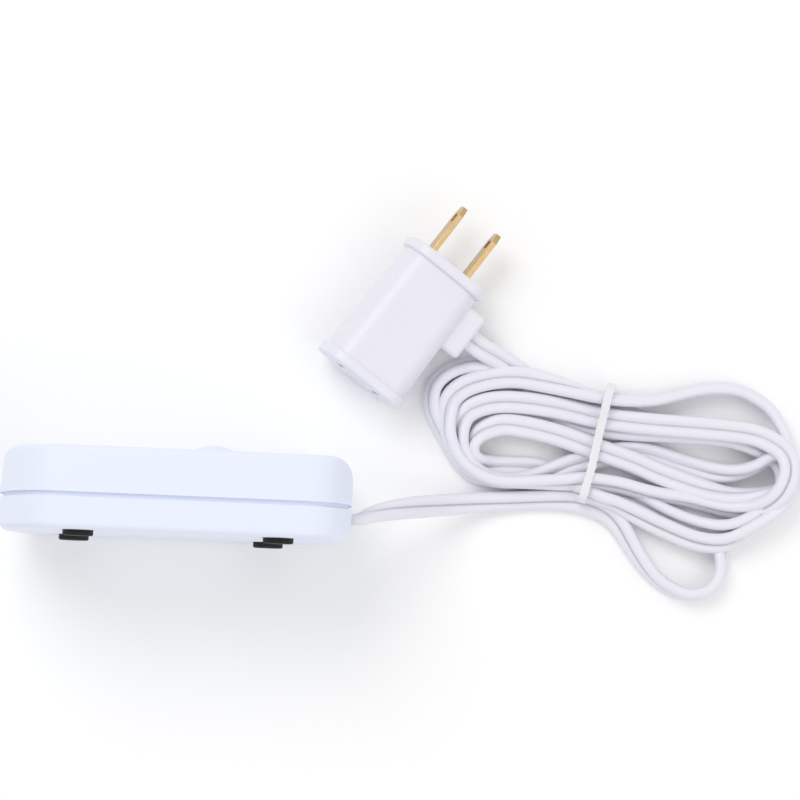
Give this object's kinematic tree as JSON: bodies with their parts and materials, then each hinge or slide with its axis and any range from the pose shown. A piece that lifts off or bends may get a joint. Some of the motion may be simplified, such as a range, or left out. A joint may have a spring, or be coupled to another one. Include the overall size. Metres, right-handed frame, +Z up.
{
  "type": "plug-in light timer",
  "caption": "Flat white in-line lamp timer box with a push button, rubber feet and a hanked flat cord to a plug with an outlet in its back.",
  "frame": {"origin": "centre of the bounding box of the case and its feet and button, at the table that it lies on", "axes": "+X along the case towards its cord, +Y the way the button faces, -Y the way the feet face, +Z up from the table that the case lies on with its long side"},
  "size_m": [0.2319, 0.1109, 0.066],
  "materials": {
    "case_plastic": "cool white moulded housing, fine matte texture",
    "plug_plastic": "white moulded plug, satin",
    "cord_pvc": "white flexible PVC jacket, satin",
    "tie_plastic": "white plastic-coated wire tie",
    "foot_rubber": "black rubber",
    "blade_brass": "bare stamped brass",
    "terminal_brass": "tinned brass tab",
    "conductor_copper": "insulated stranded copper core",
    "screw_steel": "zinc-plated steel",
    "spring_steel": "spring steel wire",
    "black_plastic": "black moulded plastic",
    "board_green": "green solder mask on glass-epoxy board",
    "relay_blue": "blue relay case",
    "capacitor_yellow": "yellow film capacitor case",
    "capacitor_sleeve": "dark shrink sleeve",
    "varistor_blue": "blue coated ceramic disc",
    "fuse_glass": "glass tube fuse with metal caps",
    "resistor_tan": "tan coated resistor bodies",
    "lamp_clear": "clear epoxy lamp",
    "lens_clear": "clear frosted light guide"
  },
  "bodies": {
    "case": {"bottom_cover": "case_plastic", "top_cover": "case_plastic", "case_screws": "screw_steel", "board_screws": "screw_steel", "switch_body": "black_plastic", "switch_spring": "spring_steel", "circuit_board": "board_green", "relay": "relay_blue", "film_capacitor": "capacitor_yellow", "electrolytic_capacitor": "capacitor_sleeve", "varistor": "varistor_blue", "fuse": "fuse_glass", "rectifier_diodes": "black_plastic", "resistors": "resistor_tan", "timer_chip": "black_plastic", "indicator_lamps": "lamp_clear", "lamp_lenses": "lens_clear", "solder_terminals": "terminal_brass", "inlet_conductors": "conductor_copper", "cord_bushing": "cord_pvc", "foot_far_end_front": "foot_rubber", "foot_far_end_back": "foot_rubber", "foot_cord_end_front": "foot_rubber", "foot_cord_end_back": "foot_rubber", "plug_front_plate": "plug_plastic", "plug_body": "plug_plastic", "plug_rear_plate": "plug_plastic", "blade_line": "blade_brass", "blade_neutral": "blade_brass", "outlet_contact_line": "blade_brass", "outlet_contact_neutral": "blade_brass", "plug_conductors": "conductor_copper", "cord_from_case": "cord_pvc", "cord_hank": "cord_pvc", "cord_to_plug": "cord_pvc", "cord_tie": "tie_plastic"},
    "button": {"button_cap": "case_plastic", "switch_stem": "black_plastic"}
  },
  "joints": [
    {"name": "button_press", "type": "slide", "parent": "case", "child": "button", "axis": [0, -1, 0], "range_m": [0, 0.0012], "stiffness_N_per_m": 400, "deforming": ["switch_spring"]}
  ]
}
